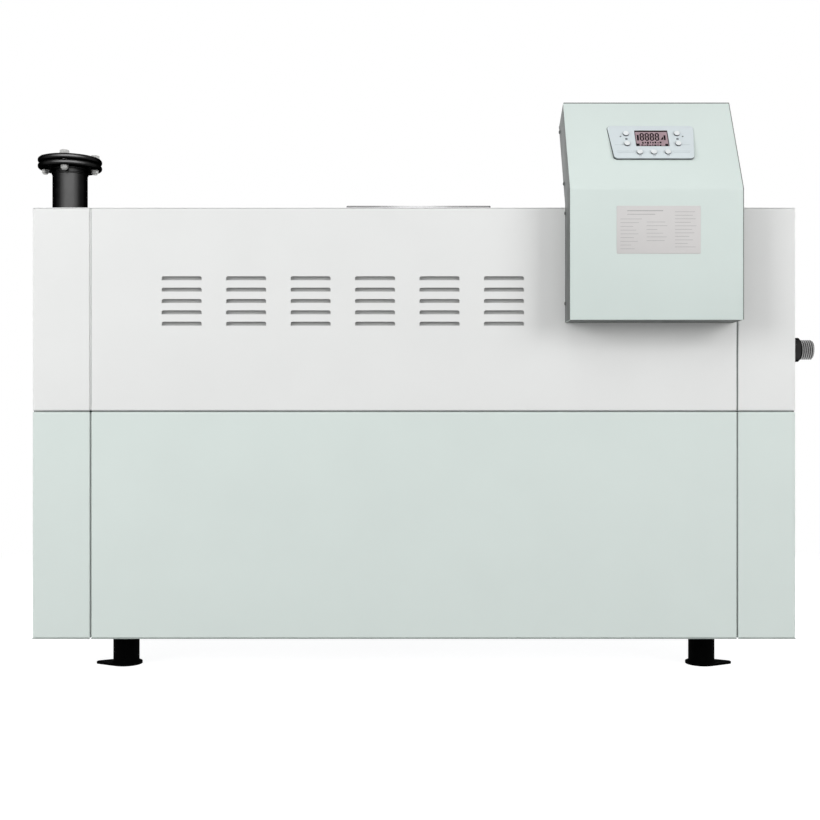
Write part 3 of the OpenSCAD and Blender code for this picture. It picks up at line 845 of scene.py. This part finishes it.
mesh = bmesh.new()
painted = front_and_rear(0.4492, SEAL_IN)
for (near, far), (painted_near, painted_far) in zip(front_and_rear(SEAL_OUT, SEAL_IN), painted):
    for left, right in stretches(SEAL_END, CROSSING):
        strip(mesh, (left, near, SEAM_Z - SEAL_HALF), (right, far, SEAM_Z + SEAL_HALF))
    for side in (-1, 1):
        left = side * SEAM - SEAL_HALF
        right = left + 2 * SEAL_HALF
        strip(mesh, (left, near, SEAL_LOW), (right, far, SEAM_Z - CROSSING))
        upper = SEAM_Z + CROSSING
        if side > 0:
            strip(mesh, (left, near, upper), (right, far, SEAL_HIGH))
        else:
            low = (left + 0.0005, painted_near, upper)
            strip(mesh, low, (left + 0.0037, painted_far, SEAL_HIGH), 1)
for side in (-1, 1):
    left, right = sorted((side * 1.0975, side * 1.0860))
    strip(mesh, (left, -0.4355, SEAM_Z - SEAL_HALF), (right, 0.4355, SEAM_Z + SEAL_HALF))
bmesh.ops.recalc_face_normals(mesh, faces=mesh.faces)
bevelled(mesh, 0.0006, 2, 40)
piece(mesh, "seam_seals", [foam_seal, white_paint])

# Folded hem along the lower edges of the cabinet panels, painted darker as the shade under the fold
HEM_LOW = LOWER_EDGE - 0.0027
HEM_HIGH = LOWER_EDGE + 0.0002
mesh = bmesh.new()
for near, far in front_and_rear(0.4497, 0.4470):
    for left, right in stretches(1.0997, 0.0022):
        strip(mesh, (left, near, HEM_LOW), (right, far, HEM_HIGH))
for side in (-1, 1):
    left, right = sorted((side * 1.0997, side * 1.0970))
    strip(mesh, (left, -0.4466, HEM_LOW), (right, 0.4466, HEM_HIGH))
bmesh.ops.recalc_face_normals(mesh, faces=mesh.faces)
bevelled(mesh, 0.0008, 2, 40)
piece(mesh, "panel_hems", [hem_painted_shade])

# Bolts, washers and nuts through the supply flanges


def thread_profile(radius, low, high, pitch, depth):
    points = []
    height = low
    while height < high - pitch * 0.5:
        points.append((radius - depth, height))
        points.append((radius, height + pitch * 0.5))
        height += pitch
    return points


WASHER = [(0.009, 0.0), (0.0148, 0.0), (0.015, 0.0008)]
WASHER += [(0.015, 0.0022), (0.0145, 0.0026), (0.009, 0.0026)]
HEAD = [(0.0, 0.0026), (0.0138, 0.0026), (0.0138, 0.0100), (0.0124, 0.0110), (0.0, 0.0112)]
NUT_WASHER = [(0.009, 0.0), (0.0108, 0.0), (0.011, -0.0004)]
NUT_WASHER += [(0.011, -0.0008), (0.0106, -0.0012), (0.009, -0.0012)]
NUT = [(0.0078, -0.0012), (0.0098, -0.0012), (0.0106, -0.0020)]
NUT += [(0.0106, -0.0092), (0.0098, -0.0100), (0.0078, -0.0100)]
STEM_END = -0.0135


def bolt_set(mesh, spot, grip):
    """A bolt whose head stands on Z above its spot and whose nut is a grip below."""
    turned(mesh, WASHER, spot, 32, True)
    turned(mesh, HEAD, spot, 6)
    low = -grip
    turned(mesh, [(radius, low + height) for radius, height in NUT_WASHER], spot, 32, True)
    turned(mesh, [(radius, low + height) for radius, height in NUT], spot, 6, True)
    end = low + STEM_END
    stem = [(0.0, end), (0.0066, end), (0.0068, end + 0.0004)]
    stem += thread_profile(0.008, end + 0.0012, low - 0.0022, 0.002, 0.0011)
    stem += [(0.008, low - 0.0020), (0.008, 0.0030), (0.0, 0.0030)]
    turned(mesh, stem, spot, 28)


mesh = bmesh.new()
for i in range(4):
    turn = math.radians(BOLT_TURN + 90 * i)
    out = Vector((BOLT_RING * math.cos(turn), BOLT_RING * math.sin(turn), FLANGE_HIGH))
    place = Matrix.Translation(SUPPLY + out)
    bolt_set(mesh, place @ Matrix.Rotation(turn + 0.3 * i, 4, "Z"), FLANGE_HIGH - FLANGE_LOW)
piece(mesh, "flange_bolts", [zinc_bolt])

# Weld beads


def bead(mesh, place, radius, thick, ripples, squash=1.0):
    """A closed ring of weld with small ripples along it."""
    steps = ripples * 4
    sides = 10
    rings = []
    for step in range(steps):
        turn = 2 * math.pi * step / steps
        swell = 1.0 + 0.10 * math.sin(ripples * turn) + 0.05 * math.sin(7 * turn + 1.0)
        ring = []
        for side in range(sides):
            angle = 2 * math.pi * side / sides
            out = radius + thick * swell * math.cos(angle)
            rise = thick * squash * swell * math.sin(angle)
            point = Vector((out * math.cos(turn), out * math.sin(turn), rise))
            ring.append(mesh.verts.new(place @ point))
        rings.append(ring)
    for i in range(steps):
        near = rings[i]
        far = rings[(i + 1) % steps]
        for side in range(sides):
            after = (side + 1) % sides
            mesh.faces.new([near[side], near[after], far[after], far[side]])


mesh = bmesh.new()
bead(mesh, Matrix.Translation(SUPPLY + Vector((0, 0, 1.4535))), 0.0508, 0.0019, 60, 1.5)
bead(mesh, Matrix.Translation(SUPPLY + Vector((0, 0, FLANGE_LOW))), 0.0512, 0.0030, 60)
bead(mesh, facing(RETURN + Vector((0, -0.015, 0)), (0, 1, 0)), 0.0512, 0.0030, 60)
piece(mesh, "pipe_welds", [black_paint], 60)

mesh = bmesh.new()
for x in (-FOOT_X, FOOT_X):
    for y in (-FOOT_Y, FOOT_Y):
        bead(mesh, Matrix.Translation((x, y, PLATE)), 0.0386, 0.0032, 44)
piece(mesh, "foot_welds", [foot_paint], 60)

# Threaded gas nipple


def nipple_ring(mesh, x, radius):
    """A ring of the nipple at X, its radius given for each turn."""
    ring = []
    for step in range(NIPPLE_STEPS):
        turn = 2 * math.pi * step / NIPPLE_STEPS
        r = radius(turn)
        point = (x, GAS_Y + r * math.cos(turn), GAS_Z + r * math.sin(turn))
        ring.append(mesh.verts.new(point))
    return ring


def thread_radius(x):
    """The thread's radius at X, for each turn."""

    def radius(turn):
        phase = (x - SOCKET_END) / PITCH - turn / (2 * math.pi)
        wave = abs((phase % 1.0) * 2 - 1)
        ridge = min(1.0, max(0.0, (wave - 0.22) / 0.5))
        return CREST - DEEP * (1 - ridge * ridge * (3 - 2 * ridge))

    return radius


def plain(value):
    return lambda turn: value


mesh = bmesh.new()
rings = [nipple_ring(mesh, NIPPLE_START, plain(BORE)), nipple_ring(mesh, NIPPLE_START, plain(NECK))]
rings.append(nipple_ring(mesh, SOCKET_END - 0.0005, plain(NECK)))
length = NIPPLE_END - SOCKET_END - 0.0024
for i in range(THREAD_RINGS + 1):
    x = SOCKET_END + length * i / THREAD_RINGS
    rings.append(nipple_ring(mesh, x, thread_radius(x)))
rings.append(nipple_ring(mesh, NIPPLE_END - 0.0012, plain(0.0274)))
rings.append(nipple_ring(mesh, NIPPLE_END, plain(0.0268)))
rings.append(nipple_ring(mesh, NIPPLE_END, plain(0.0252)))
rings.append(nipple_ring(mesh, NIPPLE_END - 0.0008, plain(BORE)))
for near, far in zip(rings, rings[1:]):
    bridged(mesh, near, far)
bridged(mesh, rings[-1], rings[0])
nipple = piece(mesh, "gas_thread", [thread_steel_groove_shade], 60)
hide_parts("gas_nipple")

# Stage: floor, world, lights and camera


def seen_rays(nodes, links):
    """One where a ray comes from the camera, a mirror or glass, else nought."""
    path = nodes.new("ShaderNodeLightPath")
    first = nodes.new("ShaderNodeMath")
    first.operation = "MAXIMUM"
    links.new(path.outputs["Is Camera Ray"], first.inputs[0])
    links.new(path.outputs["Is Glossy Ray"], first.inputs[1])
    both = nodes.new("ShaderNodeMath")
    both.operation = "MAXIMUM"
    links.new(first.outputs[0], both.inputs[0])
    links.new(path.outputs["Is Transmission Ray"], both.inputs[1])
    return both.outputs[0]


world = bpy.data.worlds.new("studio")
scene.world = world
world.use_nodes = True
nodes = world.node_tree.nodes
links = world.node_tree.links
nodes.clear()
dim = nodes.new("ShaderNodeBackground")
dim.inputs["Color"].default_value = (1.0, 1.0, 1.0, 1.0)
dim.inputs["Strength"].default_value = 0.12
bright = nodes.new("ShaderNodeBackground")
bright.inputs["Color"].default_value = (1.0, 1.0, 1.0, 1.0)
bright.inputs["Strength"].default_value = 1.0
choice = nodes.new("ShaderNodeMixShader")
links.new(seen_rays(nodes, links), choice.inputs[0])
links.new(dim.outputs[0], choice.inputs[1])
links.new(bright.outputs[0], choice.inputs[2])
out = nodes.new("ShaderNodeOutputWorld")
links.new(choice.outputs[0], out.inputs["Surface"])

floor_data = bpy.data.meshes.new("floor")
mesh = bmesh.new()
corners = [mesh.verts.new((x, y, 0.0)) for x, y in ((-30, -30), (30, -30), (30, 30), (-30, 30))]
mesh.faces.new(corners)
mesh.to_mesh(floor_data)
mesh.free()
floor = bpy.data.objects.new("floor", floor_data)
scene.collection.objects.link(floor)

floor_material = bpy.data.materials.new("studio_floor")
floor_material.use_nodes = True
nodes = floor_material.node_tree.nodes
links = floor_material.node_tree.links
nodes.clear()
away = nodes.new("ShaderNodeVectorMath")
away.operation = "LENGTH"
links.new(nodes.new("ShaderNodeTexCoord").outputs["Object"], away.inputs[0])
fade = nodes.new("ShaderNodeMapRange")
fade.inputs["From Min"].default_value = 1.4
fade.inputs["From Max"].default_value = 3.0
links.new(away.outputs["Value"], fade.inputs["Value"])
glow = nodes.new("ShaderNodeEmission")
glow.inputs["Strength"].default_value = 0.86
shade = nodes.new("ShaderNodeBsdfDiffuse")
shade.inputs["Color"].default_value = (0.35, 0.35, 0.35, 1.0)
near_floor = nodes.new("ShaderNodeAddShader")
links.new(glow.outputs[0], near_floor.inputs[0])
links.new(shade.outputs[0], near_floor.inputs[1])
far_floor = nodes.new("ShaderNodeEmission")
far_floor.inputs["Strength"].default_value = 1.0
seen_floor = nodes.new("ShaderNodeMixShader")
links.new(fade.outputs["Result"], seen_floor.inputs[0])
links.new(near_floor.outputs[0], seen_floor.inputs[1])
links.new(far_floor.outputs[0], seen_floor.inputs[2])
bounce = nodes.new("ShaderNodeBsdfDiffuse")
bounce.inputs["Color"].default_value = (0.15, 0.15, 0.15, 1.0)
floor_choice = nodes.new("ShaderNodeMixShader")
links.new(seen_rays(nodes, links), floor_choice.inputs[0])
links.new(bounce.outputs[0], floor_choice.inputs[1])
links.new(seen_floor.outputs[0], floor_choice.inputs[2])
out = nodes.new("ShaderNodeOutputMaterial")
links.new(floor_choice.outputs[0], out.inputs["Surface"])
floor_data.materials.append(floor_material)


def lamp(name, place, target, width, height, watts, glossy_for=None):
    """A soft box, which lights surfaces, or only shows in the gloss of the named pieces."""
    data = bpy.data.lights.new(name, "AREA")
    data.shape = "RECTANGLE"
    data.size = width
    data.size_y = height
    data.energy = watts
    holder = bpy.data.objects.new(name, data)
    scene.collection.objects.link(holder)
    holder.location = place
    holder.rotation_euler = (Vector(target) - Vector(place)).to_track_quat("-Z", "Y").to_euler()
    holder.visible_camera = False
    holder.visible_glossy = glossy_for is not None
    if glossy_for is not None:
        holder.visible_diffuse = False
        lit = bpy.data.collections.new(name + "_set")
        for piece_name in glossy_for:
            lit.objects.link(bpy.data.objects[piece_name])
        holder.light_linking.receiver_collection = lit


RISER = ("supply_pipe", "supply_flange", "companion_flange", "pipe_welds")
lamp("key", (-0.3, -3.4, 4.4), (0.0, -0.4, 0.9), 5.0, 3.0, 54.0)
lamp("front_left", (-4.6, -4.2, 2.6), (0.0, -0.3, 0.8), 3.0, 3.0, 196.0)
lamp("front_right", (4.6, -4.2, 2.6), (0.0, -0.3, 0.8), 3.0, 3.0, 160.0)
lamp("front_low", (0.0, -5.0, 0.25), (0.0, -0.4, 0.7), 6.0, 0.45, 33.0)
lamp("rear", (0.3, 5.4, 2.2), (0.0, 0.0, 0.9), 7.0, 4.0, 150.0)
lamp("rear_top", (0.0, 2.6, 3.8), (0.0, 0.0, 1.3), 4.0, 2.0, 58.0)
lamp("rear_left", (-5.6, 1.6, 2.0), (0.0, 0.2, 0.8), 3.0, 3.0, 60.0)
lamp("rear_right", (5.6, 1.6, 2.0), (0.0, 0.2, 0.8), 3.0, 3.0, 120.0)
riser_middle = SUPPLY + Vector((0.0, 0.0, 1.42))
lamp("riser_near", (-0.68, -2.30, 1.80), riser_middle, 2.6, 1.6, 124.0, RISER)
lamp("riser_wide", (-0.68, -2.31, 1.80), riser_middle, 6.0, 1.6, 282.0, RISER)
lamp("flue_strip", (0.025, -2.6, 1.85), (0.015, -0.22, 1.36), 0.26, 0.5, 0.75, ("flue_collar",))

camera_data = bpy.data.cameras.new("photo_view")
camera_data.lens = 50.0
camera_data.sensor_width = 36.0
camera = bpy.data.objects.new("photo_view", camera_data)
scene.collection.objects.link(camera)
camera.location = (-0.0115, -3.73, 0.752)
camera.rotation_euler = (math.pi / 2, 0.0, 0.0)
scene.camera = camera
scene.view_settings.view_transform = "Standard"
